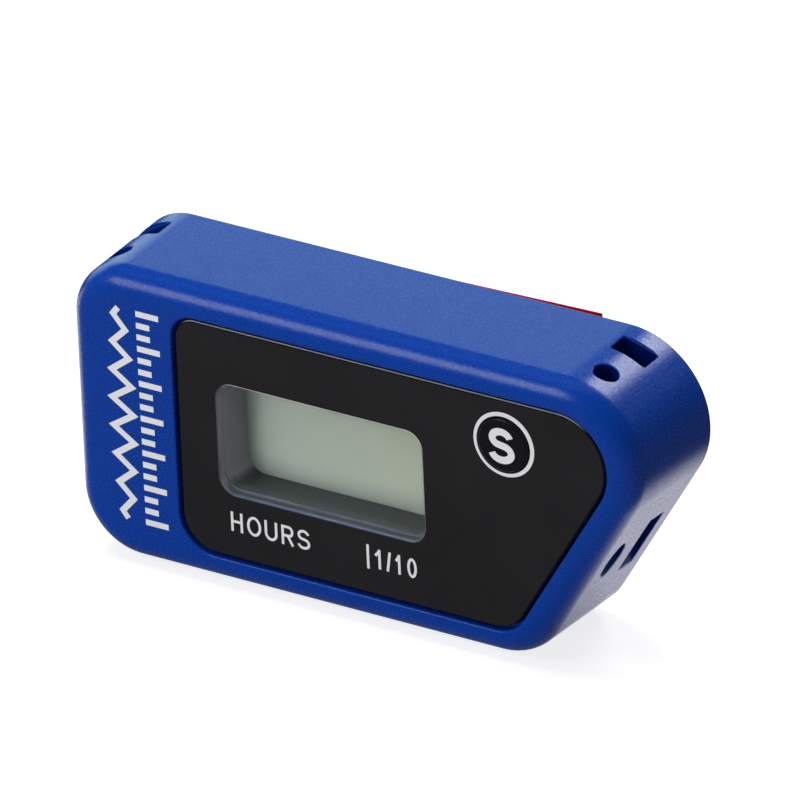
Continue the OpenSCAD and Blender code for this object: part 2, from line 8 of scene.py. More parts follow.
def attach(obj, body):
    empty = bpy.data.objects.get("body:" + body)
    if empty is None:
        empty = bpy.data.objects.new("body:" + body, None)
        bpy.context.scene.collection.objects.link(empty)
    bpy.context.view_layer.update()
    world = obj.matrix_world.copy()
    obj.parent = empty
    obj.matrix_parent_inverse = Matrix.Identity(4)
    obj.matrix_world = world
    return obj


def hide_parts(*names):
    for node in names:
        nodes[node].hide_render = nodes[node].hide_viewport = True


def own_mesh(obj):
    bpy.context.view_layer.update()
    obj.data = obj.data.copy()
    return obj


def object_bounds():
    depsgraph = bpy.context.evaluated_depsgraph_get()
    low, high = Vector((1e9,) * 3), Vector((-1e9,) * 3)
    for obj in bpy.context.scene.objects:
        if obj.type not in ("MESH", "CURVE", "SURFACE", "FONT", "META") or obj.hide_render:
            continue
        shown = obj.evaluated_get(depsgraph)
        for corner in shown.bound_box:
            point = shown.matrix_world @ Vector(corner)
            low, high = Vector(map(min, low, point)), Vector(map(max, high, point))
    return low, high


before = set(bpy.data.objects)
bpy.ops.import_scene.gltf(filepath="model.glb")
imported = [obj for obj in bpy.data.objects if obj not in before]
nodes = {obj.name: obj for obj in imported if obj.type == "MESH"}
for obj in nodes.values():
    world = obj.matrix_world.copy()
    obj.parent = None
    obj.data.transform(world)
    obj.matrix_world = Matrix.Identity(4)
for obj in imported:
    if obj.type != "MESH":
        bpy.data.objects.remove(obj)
cadLow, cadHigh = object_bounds()
scene = bpy.context.scene
scene.view_settings.view_transform = "Standard"
mm = 0.001
print("frame loaded:", len(nodes), "solids")


# camera, as the photo was taken: a long lens from the upper right
camSetup = {"azimuth": 33.568, "elevation": 27.138, "roll": -2.475, "lens": 721.5,
            "aim": (3.7, -8.35, -1.65), "right": -1.80, "up": 5.20, "away": 1490.7, "sensor": 36, "clip": (0.1, 20)}


def makeCamera(s):
    a, e, r = (math.radians(s[k]) for k in ("azimuth", "elevation", "roll"))
    back = Vector((math.sin(a) * math.cos(e), -math.cos(a) * math.cos(e), math.sin(e)))
    level = (-back).cross(Vector((0, 0, 1))).normalized()
    rise = level.cross(-back)
    right = math.cos(r) * level + math.sin(r) * rise
    up = math.cos(r) * rise - math.sin(r) * level
    place = (Vector(s["aim"]) + s["right"] * right + s["up"] * up + s["away"] * back) * mm
    data = bpy.data.cameras.new("photoCamera")
    data.lens = s["lens"]
    data.sensor_width = s["sensor"]
    data.clip_start, data.clip_end = s["clip"]
    cam = bpy.data.objects.new("photoCamera", data)
    cam.matrix_world = Matrix.Translation(place) @ Matrix((right, up, back)).transposed().to_4x4()
    scene.collection.objects.link(cam)
    scene.camera = cam


makeCamera(camSetup)
print("camera placed")


# node helpers
def wire(tree, source, target):
    tree.links.new(source, target)


def put(tree, kind, **values):
    node = tree.nodes.new(kind)
    for key, value in values.items():
        setattr(node, key, value)
    return node


def mathNode(tree, operation, a, b, clamp=False):
    node = put(tree, "ShaderNodeMath", operation=operation, use_clamp=clamp)
    for slot, value in enumerate((a, b)):
        if isinstance(value, (int, float)):
            node.inputs[slot].default_value = value
        else:
            wire(tree, value, node.inputs[slot])
    return node.outputs[0]


# value from start to end becomes low to high
def spread(tree, value, low, high, start=0.0, end=1.0, kind="LINEAR"):
    node = put(tree, "ShaderNodeMapRange", interpolation_type=kind)
    wire(tree, value, node.inputs["Value"])
    for name, number in zip(("From Min", "From Max", "To Min", "To Max"), (start, end, low, high)):
        node.inputs[name].default_value = number
    return node.outputs["Result"]


def softStep(tree, value, low, high, start, end):
    return spread(tree, value, low, high, start, end, "SMOOTHSTEP")


def blend(tree, a, b, share):
    return mathNode(tree, "ADD", mathNode(tree, "MULTIPLY", a, share), mathNode(tree, "MULTIPLY", b, 1 - share))


def splitAxes(tree, vector):
    node = put(tree, "ShaderNodeSeparateXYZ")
    wire(tree, vector, node.inputs[0])
    return node.outputs


def facing(tree, vector, way):
    node = put(tree, "ShaderNodeVectorMath", operation="DOT_PRODUCT")
    wire(tree, vector, node.inputs[0])
    node.inputs[1].default_value = way
    return node.outputs["Value"]


def trueNormal(tree):
    return put(tree, "ShaderNodeNewGeometry").outputs["True Normal"]


def newGroup(name, inputs, outputs):
    tree = bpy.data.node_groups.new(name, "ShaderNodeTree")
    for label, value in inputs.items():
        socket = tree.interface.new_socket(label, in_out="INPUT", socket_type="NodeSocketFloat")
        socket.default_value = value
    for label in outputs:
        tree.interface.new_socket(label, in_out="OUTPUT", socket_type="NodeSocketFloat")
    return tree, put(tree, "NodeGroupInput").outputs, put(tree, "NodeGroupOutput").inputs


def objectSpace(tree, stretch=None):
    coords = put(tree, "ShaderNodeTexCoord").outputs["Object"]
    if stretch is None:
        return coords
    mapping = put(tree, "ShaderNodeMapping")
    mapping.inputs["Scale"].default_value = stretch
    wire(tree, coords, mapping.inputs["Vector"])
    return mapping.outputs["Vector"]


def noise(tree, coords, scale, detail=2.0, roughness=0.5):
    node = put(tree, "ShaderNodeTexNoise")
    wire(tree, coords, node.inputs["Vector"])
    wire(tree, scale, node.inputs["Scale"])
    node.inputs["Detail"].default_value = detail
    node.inputs["Roughness"].default_value = roughness
    return node.outputs["Fac"]


# spark-eroded mould skin: fine grain, sparse glints, slower patches and the height of the grain
def makeMouldSkin():
    tree, given, out = newGroup("mouldSkin", {"Grain Scale": 6000.0, "Patch Scale": 160.0},
                                ("Grain", "Glint", "Patch", "Height"))
    coords = objectSpace(tree)
    fine = noise(tree, coords, given["Grain Scale"], 2.0, 0.55)
    cells = put(tree, "ShaderNodeTexVoronoi")
    wire(tree, coords, cells.inputs["Vector"])
    wire(tree, mathNode(tree, "MULTIPLY", given["Grain Scale"], 0.8), cells.inputs["Scale"])
    tone = put(tree, "ShaderNodeSeparateColor")
    wire(tree, cells.outputs["Color"], tone.inputs["Color"])
    patch = noise(tree, coords, given["Patch Scale"], 2.0)
    rare = mathNode(tree, "ADD", tone.outputs["Red"], mathNode(tree, "MULTIPLY", patch, 0.2))
    wire(tree, spread(tree, fine, 0.0, 1.0, 0.32, 0.68), out["Grain"])  # noise keeps near its middle
    wire(tree, spread(tree, rare, 0.0, 1.0, 0.9, 1.1), out["Glint"])  # only the brightest cells
    wire(tree, patch, out["Patch"])
    wire(tree, blend(tree, fine, tone.outputs["Green"], 0.6), out["Height"])
    return tree


# handling haze on gloss sheets: soft patches and thin wipe marks
def makeHaze():
    tree, given, out = newGroup("handlingHaze", {"Patch Scale": 90.0, "Wipe Scale": 700.0}, ("Haze", "Wipe"))
    wire(tree, spread(tree, noise(tree, objectSpace(tree), given["Patch Scale"], 3.0), 0.0, 1.0, 0.35, 0.75),
         out["Haze"])
    wipes = noise(tree, objectSpace(tree, (0.12, 1.0, 1.0)), given["Wipe Scale"], 1.0)
    wire(tree, spread(tree, wipes, 0.0, 1.0, 0.55, 0.75), out["Wipe"])
    return tree


# drawn or rolled metal: streaks along one way and faint spots
def makeRolled():
    tree, given, out = newGroup("rolledMetal", {"Streak Scale": 2600.0, "Spot Scale": 900.0},
                                ("Streak", "Spot", "Height"))
    streak = noise(tree, objectSpace(tree, (0.05, 1.0, 1.0)), given["Streak Scale"], 3.0)
    spots = noise(tree, objectSpace(tree), given["Spot Scale"], 2.0)
    wire(tree, streak, out["Streak"])
    wire(tree, spread(tree, spots, 0.0, 1.0, 0.4, 0.7), out["Spot"])
    wire(tree, streak, out["Height"])
    return tree


mouldSkin, handlingHaze, rolledMetal = makeMouldSkin(), makeHaze(), makeRolled()


class Finish:
    def __init__(self, name):
        self.mat = bpy.data.materials.new(name)
        self.mat.use_nodes = True
        self.tree = self.mat.node_tree
        self.shader = self.tree.nodes["Principled BSDF"]

    def effect(self, group, **values):
        node = put(self.tree, "ShaderNodeGroup", node_tree=group)
        for key, value in values.items():
            node.inputs[key.replace("_", " ")].default_value = value
        return node.outputs

    def plain(self, **values):
        for key, value in values.items():
            self.shader.inputs[key.replace("_", " ")].default_value = value

    # either tone may be a colour or another node's output
    def colour(self, mask, dark, light):
        mix = put(self.tree, "ShaderNodeMix", data_type="RGBA")
        for name, tone in (("A", dark), ("B", light)):
            if isinstance(tone, tuple):
                mix.inputs[name].default_value = (*tone, 1)
            else:
                wire(self.tree, tone, mix.inputs[name])
        wire(self.tree, mask, mix.inputs["Factor"])
        return mix.outputs["Result"]

    def feed(self, socket, source):
        wire(self.tree, source, self.shader.inputs[socket])

    def bump(self, height, strength, distance):
        node = put(self.tree, "ShaderNodeBump")
        node.inputs["Strength"].default_value = strength
        node.inputs["Distance"].default_value = distance
        wire(self.tree, height, node.inputs["Height"])
        self.feed("Normal", node.outputs["Normal"])

    # another shader takes over where the mask is 1
    def giveWay(self, mask, other):
        choose = put(self.tree, "ShaderNodeMixShader")
        for slot, source in enumerate((mask, self.shader.outputs[0], other.outputs[0])):
            wire(self.tree, source, choose.inputs[slot])
        wire(self.tree, choose.outputs[0], self.tree.nodes["Material Output"].inputs["Surface"])


def tint(colour, amount):
    return tuple(min(1.0, c * amount) for c in colour)


# moulded plastic, rubber, resin and print
def mouldedFinish(name, colour, rough, swing=0.12, grainScale=6000.0, bump=0.12, depth=0.00002,
                  specular=0.5, glint=0.0, roughSwing=0.06, glintRough=0.25):
    f = Finish(name)
    grain = f.effect(mouldSkin, Grain_Scale=grainScale)
    mask = blend(f.tree, grain["Grain"], grain["Patch"], 0.65)
    f.feed("Base Color", f.colour(mask, tint(colour, 1 - swing), tint(colour, 1 + swing)))
    f.feed("Roughness", spread(f.tree, grain["Grain"], rough - roughSwing, rough + roughSwing))
    f.bump(grain["Height"], bump, depth)
    f.plain(Specular_IOR_Level=specular)
    if glint:
        f.feed("Coat Weight", mathNode(f.tree, "MULTIPLY", grain["Glint"], glint))
        f.plain(Coat_Roughness=glintRough)
    return f


# sheets and films with a smooth face
def glossFinish(name, colour, rough, swing=0.1, specular=0.5, roughSwing=0.05):
    f = Finish(name)
    haze = f.effect(handlingHaze)
    f.feed("Base Color", f.colour(haze["Haze"], tint(colour, 1 - swing), tint(colour, 1 + swing)))
    f.feed("Roughness", spread(f.tree, haze["Wipe"], rough, rough + roughSwing))
    f.plain(Specular_IOR_Level=specular)
    return f


# cut edge of a sheet: painted light on the side that faces a given way, its own tone elsewhere
def edgeFinish(name, dark, light, way, start, end, rough=(0.2, 0.3)):
    f = Finish(name)
    lit = softStep(f.tree, facing(f.tree, trueNormal(f.tree), way), 0.0, 1.0, start, end)
    f.feed("Base Color", f.colour(lit, dark, light))
    f.feed("Roughness", spread(f.tree, f.effect(handlingHaze)["Wipe"], *rough))
    return f


def metalFinish(name, colour, rough, tones=(0.9, 1.06), roughSwing=(0.08, 0.1), bump=0.08, depth=0.00002):
    f = Finish(name)
    rolled = f.effect(rolledMetal)
    f.feed("Base Color", f.colour(rolled["Spot"], *(tint(colour, tone) for tone in tones)))
    f.feed("Roughness", spread(f.tree, rolled["Streak"], rough - roughSwing[0], rough + roughSwing[1]))
    f.bump(rolled["Height"], bump, depth)
    f.plain(Metallic=1.0)
    return f


# clear sheet or glass that lets the lamps through to what lies behind it
def clearFinish(name, colour, rough, ior, hazed=0.985, roughSwing=0.02, shade=0.97):
    f = Finish(name)
    haze = f.effect(handlingHaze)
    f.feed("Base Color", f.colour(haze["Haze"], tint(colour, hazed), colour))
    f.feed("Roughness", spread(f.tree, haze["Wipe"], rough, rough + roughSwing))
    f.plain(Transmission_Weight=1.0, IOR=ior)
    through = put(f.tree, "ShaderNodeBsdfTransparent")
    through.inputs["Color"].default_value = (*tint(colour, shade), 1)
    f.giveWay(put(f.tree, "ShaderNodeLightPath").outputs["Is Shadow Ray"], through)
    return f


def dress(obj, *finishes):
    kept = [p.material_index for p in obj.data.polygons]
    obj.data.materials.clear()
    for finish in finishes:
        obj.data.materials.append(finish.mat)
    for p, index in zip(obj.data.polygons, kept):
        p.material_index = min(index, len(finishes) - 1)


caseBlue = mouldedFinish("caseBlue", (0.001, 0.049, 0.38), 0.25, 0.06, 4800.0, 0.5, 0.00004, 0.5, 0.2)
panelBlack = glossFinish("panelBlack", (0.022, 0.022, 0.024), 0.1, 0.1, 0.25)
# painted highlight along the sheet's bevel where it faces up
panelEdge = edgeFinish("panelEdge", (0.01, 0.01, 0.011), (0.75, 0.76, 0.76), (0, 0, 1), 0.68, 0.88)
# painted highlight on the lip where it faces down and left, along the window's top and right edges
windowLip = edgeFinish("windowLip", (0.09, 0.09, 0.1), (0.9, 0.93, 0.92), (-0.5, 0, -0.86), 0.1, 0.5)
# painted reflection: the up-facing bottom wall is tinted with the case's blue, the rest keeps the wall grey
windowFoot = edgeFinish("windowFoot", (0.26, 0.222, 0.268), (0.1, 0.12, 0.3), (0, 0, 1), 0.6, 0.95)
windowClear = clearFinish("windowClear", (0.97, 0.98, 0.99), 0.0, 1.3)
filmBlack = glossFinish("filmBlack", (0.006, 0.006, 0.007), 0.3, 0.2, 0.2)
buttonBlack = mouldedFinish("buttonBlack", (0.010, 0.010, 0.012), 0.3, 0.2, 7000.0, 0.1, 0.00001, 0.3)
printWhite = mouldedFinish("printWhite", (0.93, 0.93, 0.95), 0.5, 0.03, 8000.0, 0.06, 0.00001)
# channel walls: the case's plastic in a darker blue, painted shade inside the holes and slots
channelShadeBlue = mouldedFinish("channelShadeBlue", (0.001, 0.02, 0.22), 0.5, 0.1, 6000.0, 0.1, 0.00002, 0.15)
displayGlass = clearFinish("displayGlass", (0.9, 0.96, 0.94), 0.02, 1.45)

# display frame: even grey walls, and a foot of painted shade on faces that look up or forward, darker deeper in
# towards the glass and broken into streaks
frameSetup = {"wall": (0.27, 0.228, 0.275), "ledge": (0.075, 0.077, 0.09), "foot": (0.06, 0.061, 0.063),
              "shadeDepth": (-13.6, -10.2), "streak": 1.2, "streakScale": 1600.0, "rough": (0.34, 0.46),
              "shadeUpward": (0.4, 0.9), "shadeForward": (-0.9, -0.6), "bump": (0.1, 0.00002), "specular": 0.2}


def makeFrameFinish(s):
    f = Finish("frameGrey")
    grain = f.effect(mouldSkin)
    streak = f.effect(rolledMetal, Streak_Scale=s["streakScale"])["Streak"]
    way = splitAxes(f.tree, trueNormal(f.tree))
    # painted shade goes on the faces that look up or forward
    up = mathNode(f.tree, "ADD", softStep(f.tree, way["Z"], 0.0, 1.0, *s["shadeUpward"]),
                  softStep(f.tree, way["Y"], 1.0, 0.0, *s["shadeForward"]), True)
    shadeDepth = softStep(f.tree, splitAxes(f.tree, objectSpace(f.tree))["Y"], 0.0, 1.0, *(at * mm for at in s["shadeDepth"]))
    swing = mathNode(f.tree, "MULTIPLY", mathNode(f.tree, "SUBTRACT", streak, 0.5), s["streak"])
    # painted shade: lighter tone at the front, darker deeper in, broken into streaks
    foot = f.colour(mathNode(f.tree, "ADD", shadeDepth, swing, True), s["ledge"], s["foot"])
    f.feed("Base Color", f.colour(up, s["wall"], foot))
    f.feed("Roughness", spread(f.tree, grain["Grain"], *s["rough"]))
    f.bump(grain["Height"], *s["bump"])
    f.plain(Specular_IOR_Level=s["specular"])
    return f


frameGrey = makeFrameFinish(frameSetup)
print("finishes mixed")


# floor, backdrop and lamps, in metres; a lamp that doesn't shine isn't mirrored in gloss
stageSetup = {"floorSize": 6.0, "floorColour": (0.5, 0.5, 0.5), "floorTint": 0.98, "floorGrain": 300.0,
              "floorPatch": 8.0, "floorRough": 0.9, "glow": 0.8, "ambient": 0.1, "dim": 0.02,
              "backdropWay": (-0.45, 0.87, 0.2), "backdropEdge": (0.45, 0.75), "backdropTop": (0.445, 0.505),
              "backdrop": (1.15, 1.6, 1.3), "sheetDim": 0.05,
              "sheetFront": (-0.02, -0.004), "sheetBack": (0.016, 0.03), "sheetRight": (0.034, 0.046),
              "key": {"way": (-0.49, -0.655, 0.575), "far": 0.7, "size": (0.36, 0.28), "watts": 0.85, "shines": True},
              "rear": {"way": (0.07, 0.74, 0.67), "far": 0.7, "size": (0.3, 0.27), "watts": 1.5, "shines": True},
              "top": {"way": (-0.2, 0.1, 0.97), "far": 0.8, "size": (0.6, 0.6), "watts": 4.4, "shines": False},
              "front": {"way": (-0.22, -0.96, 0.07), "far": 0.9, "size": (0.4, 0.12), "watts": 2.8, "shines": False}}


# rays that see the backdrop itself: 1 for the camera and through glass, shine where the backdrop stands
def seen(tree, shine):
    path = put(tree, "ShaderNodeLightPath").outputs
    straight = mathNode(tree, "MAXIMUM", path["Is Camera Ray"], path["Is Transmission Ray"])
    return mathNode(tree, "MAXIMUM", straight, mathNode(tree, "MULTIPLY", path["Is Glossy Ray"], shine))


def makeFloor(s):
    half = s["floorSize"] / 2
    mesh = bpy.data.meshes.new("floor")
    low = cadLow.z
    mesh.from_pydata([(-half, -half, low), (half, -half, low), (half, half, low), (-half, half, low)], [],
                     [(0, 1, 2, 3)])
    floor = bpy.data.objects.new("floor", mesh)
    scene.collection.objects.link(floor)
    f = Finish("floorPale")
    patch = f.effect(mouldSkin, Grain_Scale=s["floorGrain"], Patch_Scale=s["floorPatch"])["Patch"]
    f.feed("Base Color", f.colour(patch, tint(s["floorColour"], s["floorTint"]), s["floorColour"]))
    f.plain(Roughness=s["floorRough"], Specular_IOR_Level=0.0, Emission_Color=(1, 1, 1, 1))
    axes = splitAxes(f.tree, objectSpace(f.tree))
    near = mathNode(f.tree, "MULTIPLY", softStep(f.tree, axes["Y"], 0.0, 1.0, *s["sheetFront"]),
                    mathNode(f.tree, "MULTIPLY", softStep(f.tree, axes["Y"], 1.0, 0.0, *s["sheetBack"]),
                             softStep(f.tree, axes["X"], 1.0, 0.0, *s["sheetRight"])))
    shine = spread(f.tree, near, s["sheetDim"], 1.0)
    f.feed("Emission Strength", mathNode(f.tree, "MULTIPLY", seen(f.tree, shine), s["glow"]))
    f.mat.cycles.emission_sampling = "NONE"
    # gloss sees the dark studio past the white sheet's edges
    dark = put(f.tree, "ShaderNodeBsdfDiffuse")
    dark.inputs["Color"].default_value = (s["sheetDim"], s["sheetDim"], s["sheetDim"], 1)
    glossy = put(f.tree, "ShaderNodeLightPath").outputs["Is Glossy Ray"]
    f.giveWay(mathNode(f.tree, "MULTIPLY", glossy, mathNode(f.tree, "SUBTRACT", 1.0, near)), dark)
    dress(floor, f)


def makeLamps(s):
    for name in ("key", "rear", "top", "front"):
        lamp = s[name]
        data = bpy.data.lights.new(name + "Softbox", "AREA")
        data.shape = "ELLIPSE"
        data.size, data.size_y = lamp["size"]
        data.energy = lamp["watts"]
        obj = bpy.data.objects.new(name + "Softbox", data)
        way = Vector(lamp["way"]).normalized()
        obj.location = way * lamp["far"]
        obj.rotation_euler = way.to_track_quat("Z", "Y").to_euler()
        obj.visible_camera = False
        obj.visible_glossy = lamp["shines"]
        scene.collection.objects.link(obj)


# white backdrop behind and to the left, a dark studio elsewhere, and even fill light
def makeWorld(s):
    world = bpy.data.worlds.new("studio")
    scene.world = world
    world.use_nodes = True
    tree = world.node_tree
    shade = tree.nodes["Background"]
    world.cycles.sampling_method = "NONE"
    way = put(tree, "ShaderNodeTexCoord").outputs["Generated"]
    across = facing(tree, way, Vector(s["backdropWay"]).normalized())
    patch = mathNode(tree, "MULTIPLY", softStep(tree, across, 0.0, 1.0, *s["backdropEdge"]),
                     softStep(tree, splitAxes(tree, way)["Z"], 1.0, 0.0, *s["backdropTop"]))
    shine = spread(tree, patch, s["dim"], 1.0)
    path = put(tree, "ShaderNodeLightPath").outputs
    tone = put(tree, "ShaderNodeMix", data_type="RGBA")
    tone.inputs["A"].default_value = (1, 1, 1, 1)
    tone.inputs["B"].default_value = (*s["backdrop"], 1)
    wire(tree, path["Is Glossy Ray"], tone.inputs["Factor"])
    wire(tree, tone.outputs["Result"], shade.inputs["Color"])
    fill = mathNode(tree, "MULTIPLY", path["Is Diffuse Ray"], s["ambient"])
    wire(tree, mathNode(tree, "MAXIMUM", seen(tree, shine), fill), shade.inputs["Strength"])


makeFloor(stageSetup)
makeLamps(stageSetup)
makeWorld(stageSetup)
print("stage lit")


# places on the meter: x across the face, y up it, t behind its rim, in mm
frontAt, padRise = 14.6, 1.85


def spot(x, y, t):
    return Vector((x, t - frontAt, y - padRise)) * mm


slant = 31.5  # lean of the right-hand end, in degrees
stations = (180, 270, 360 - slant, 360, 450, 540)  # where an outline turns from one corner to the next
arcSteps = (32, 20, 12, 32, 32)
caseShape = {"width": 62.0, "height": 30.1, "depth": 13.5, "corners": (6.5, 6.3, 8.2, 5.7), "edge": 2.5,
             "edgeSteps": 14, "draft": 1.5, "frontWall": 2.2, "lidSeat": 12.15, "lidGrow": 1.1,
             "backSoft": 0.25, "rimSoft": 0.2, "sharp": 28}
recessSetup = {"left": 11.7, "half": 12.2, "rim": 2.85, "corners": (3.8, 3.6, 5.35, 2.4), "gap": 0.1, "floor": 1.2}
chamberSetup = {"left": 25.0, "right": 22.3, "wall": 2.45, "r": 1.8}
windowSetup = {"x": -3.4, "y": 0.4, "w": 22.7, "h": 11.6, "r": 1.8}
collarSetup = {"up": 0.4, "wider": 1.8, "taller": 1.0, "r": 1.8}  # hole in the front wall, against the window
bossSetup = {"at": ((-22.3, 9.6), (-22.3, -9.6), (19.6, 0.2)), "r": 2.0, "span": (2.0, 7.8), "steps": 40,
             "pilotR": 0.83, "pilotSpan": (3.3, 8.5), "pilotSteps": 32}


# centre of the arc of radius r between two sides, each given by its way and its distance
def cornerSpot(first, second, r):
    (a, d), (b, e) = first, second
    n = Vector((math.cos(math.radians(a)), math.sin(math.radians(a))))
    m = Vector((math.cos(math.radians(b)), math.sin(math.radians(b))))
    across = n.x * m.y - n.y * m.x
    d, e = d - r, e - r
    return Vector(((d * m.y - e * n.y) / across, (n.x * e - m.x * d) / across))


class Outline:
    def __init__(self, sides, radii):
        self.radii = radii
        turns = [s[0] for s in sides] + [stations[-1]]
        self.corners = [cornerSpot(sides[i], sides[(i + 1) % len(sides)], radii[i]) for i in range(len(sides))]
        self.spans = [(turns[i], turns[i + 1]) for i in range(len(sides))]

    # one loop of points; every outline has the same number, so any two can be joined
    def loop(self, grow, t):
        points = []
        for (a, b), steps in zip(zip(stations, stations[1:]), arcSteps):
            i = next(k for k, (lo, hi) in enumerate(self.spans) if lo <= a + 0.01 < hi)  # a hair past the turn
            r = self.radii[i] + grow
            for k in range(steps + 1):
                w = math.radians(a + (b - a) * k / steps)
                c = self.corners[i]
                points.append(spot(c.x + r * math.cos(w), c.y + r * math.sin(w), t))
        return points


def boxOutline(x, y, w, h, r):
    return Outline([(180, w / 2 - x), (270, h / 2 - y), (360, w / 2 + x), (450, h / 2 + y)], [r] * 4)


halfW, halfH = caseShape["width"] / 2, caseShape["height"] / 2
cornerTr = caseShape["corners"][2]
slantReach = (math.cos(math.radians(slant)) * (halfW - cornerTr)
              - math.sin(math.radians(slant)) * (halfH - cornerTr) + cornerTr)
bodyLine = Outline([(180, halfW), (270, halfH), (360 - slant, slantReach), (450, halfH)], caseShape["corners"])
panelLine = Outline([(180, halfW - recessSetup["left"]), (270, recessSetup["half"]),
                     (360 - slant, slantReach - recessSetup["rim"]), (450, recessSetup["half"])],
                    recessSetup["corners"])
chamberWall = chamberSetup["wall"]
chamberLine = Outline([(180, chamberSetup["left"]), (270, halfH - chamberWall),
                       (360 - slant, slantReach - chamberWall), (360, chamberSetup["right"]),
                       (450, halfH - chamberWall)], [chamberSetup["r"]] * 5)
windowLine = boxOutline(**windowSetup)
collarLine = boxOutline(windowSetup["x"], windowSetup["y"] + collarSetup["up"],
                        windowSetup["w"] + collarSetup["wider"], windowSetup["h"] + collarSetup["taller"],
                        collarSetup["r"])


def sideGrow(t):
    return math.tan(math.radians(caseShape["draft"])) * t


# steps in from an outline and back from a face, round a quarter turn
def quarterRound(r, steps=4):
    turns = [math.radians(90 * k / steps) for k in range(steps + 1)]
    return [(r * (1 - math.cos(w)), r * (1 - math.sin(w))) for w in turns]


# a mesh in the scene, smoothed up to the angle of its sharp edges if one is given
def meshPiece(name, bm, sharp=None):
    bmesh.ops.remove_doubles(bm, verts=bm.verts, dist=1e-8)
    bmesh.ops.recalc_face_normals(bm, faces=bm.faces)
    mesh = bpy.data.meshes.new(name)
    bm.to_mesh(mesh)
    bm.free()
    obj = bpy.data.objects.new(name, mesh)
    scene.collection.objects.link(obj)
    if sharp:
        smoothEdges(obj, sharp)
    return obj


def smoothEdges(obj, sharp):
    obj.data.shade_smooth()
    obj.data.set_sharp_from_angle(angle=math.radians(sharp))


def steadyNormals(obj):
    fix = obj.modifiers.new("steadyNormals", "WEIGHTED_NORMAL")
    fix.keep_sharp = True
    fix.weight = 80


# joins loops into a skin, closed round on itself or capped at both ends
def skin(loops, closed=False, slots=None):
    bm = bmesh.new()
    rows = [[bm.verts.new(p) for p in loop] for loop in loops]
    pairs = list(zip(rows, rows[1:])) + ([(rows[-1], rows[0])] if closed else [])
    n = len(rows[0])
    for k, (a, b) in enumerate(pairs):
        for i in range(n):
            j = (i + 1) % n
            face = bm.faces.new((a[i], a[j], b[j], b[i]))
            face.material_index = slots[k] if slots else 0
    if not closed:
        for row in (rows[0], rows[-1]):
            bm.faces.new(row)
    return bm


def roundLoop(x, y, r, t, count):
    return [spot(x + r * math.cos(2 * math.pi * k / count), y + r * math.sin(2 * math.pi * k / count), t)
            for k in range(count)]


# a turned piece: profile points are radius and depth
def lathe(name, x, y, profile, count, sharp):
    bm = bmesh.new()
    rows = [[bm.verts.new(p) for p in roundLoop(x, y, r, t, count)] if r > 0 else [bm.verts.new(spot(x, y, t))]
            for r, t in profile]
    for a, b in zip(rows, rows[1:]):
        for i in range(count):
            j = (i + 1) % count
            ring = [a[i % len(a)], a[j % len(a)], b[j % len(b)], b[i % len(b)]]
            bm.faces.new(list(dict.fromkeys(ring)))
    return meshPiece(name, bm, sharp)


# a round bar along the depth, to add or to cut with
def bar(name, x, y, r, span, count=64):
    return meshPiece(name, skin([roundLoop(x, y, r, t, count) for t in span]))


# cuts or joins the given pieces one by one, and throws them away
def carve(obj, cutters, operation="DIFFERENCE"):
    for cutter in cutters:
        cut = obj.modifiers.new("cut", "BOOLEAN")
        cut.operation = operation
        cut.solver = "EXACT"
        cut.object = cutter
        graph = bpy.context.evaluated_depsgraph_get()
        done = bpy.data.meshes.new_from_object(obj.evaluated_get(graph))
        obj.modifiers.remove(cut)
        old = obj.data
        obj.data = done
        bpy.data.meshes.remove(old)
        bpy.data.objects.remove(cutter)


# tie channels: a round hole and a flat slot through each end of the case
channelSetup = {"holeD": 2.4, "holeAt": 5.05, "slotL": 3.7, "slotW": 2.5, "slotAt": 9.95, "slotR": 0.25,
                "x": (-28.1, 25.4), "holeSteps": 64, "cornerSteps": 6, "reach": 30, "slack": 0.01, "level": 0.1}
mouthSetup = {"soft": 0.1, "inward": 0.6, "over": 2, "under": 1.6}


def channelRings():
    s = channelSetup
    rings, steps, turns = [], s["cornerSteps"], s["holeSteps"]
    for x in s["x"]:
        rings.append([(x + s["holeD"] / 2 * math.cos(w), s["holeAt"] + s["holeD"] / 2 * math.sin(w))
                      for w in (2 * math.pi * k / turns for k in range(turns))])
        ring = []
        for q, (u, v) in enumerate(((1, 1), (-1, 1), (-1, -1), (1, -1))):
            for k in range(steps + 1):
                w = math.radians(90 * q + 90 * k / steps)
                ring.append((x + u * (s["slotL"] / 2 - s["slotR"]) + s["slotR"] * math.cos(w),
                             s["slotAt"] + v * (s["slotW"] / 2 - s["slotR"]) + s["slotR"] * math.sin(w)))
        rings.append(ring)
    return rings


# whether a face of the case is a channel's wall
def inChannel(face):
    s = channelSetup
    x, t, slack = face.center.x / mm, face.center.y / mm + frontAt, s["slack"]
    if abs(face.normal.z) > s["level"]:
        return False
    for at in s["x"]:
        if math.hypot(x - at, t - s["holeAt"]) < s["holeD"] / 2 + slack:
            return True
        if abs(x - at) < s["slotL"] / 2 + slack and abs(t - s["slotAt"]) < s["slotW"] / 2 + slack:
            return True
    return False


# height of the case's skin above or below a point of a channel
def skinHeight(x, t, top):
    best = None
    loop = bodyLine.loop(sideGrow(t), t)
    for p, q in zip(loop, loop[1:] + loop[:1]):
        px, qx = p.x / mm, q.x / mm
        if (px - x) * (qx - x) <= 0 and px != qx:
            y = (p.z + (q.z - p.z) * (x - px) / (qx - px)) / mm + padRise
            if best is None or (y > best if top else y < best):
                best = y
    return best


def channelCutters():
    cutters, reach = [], channelSetup["reach"]
    for ring in channelRings():
        loops = [[spot(x, y, t) for x, t in ring] for y in (-reach, reach)]
        cutters.append(meshPiece("channelCutter", skin(loops)))
    return cutters


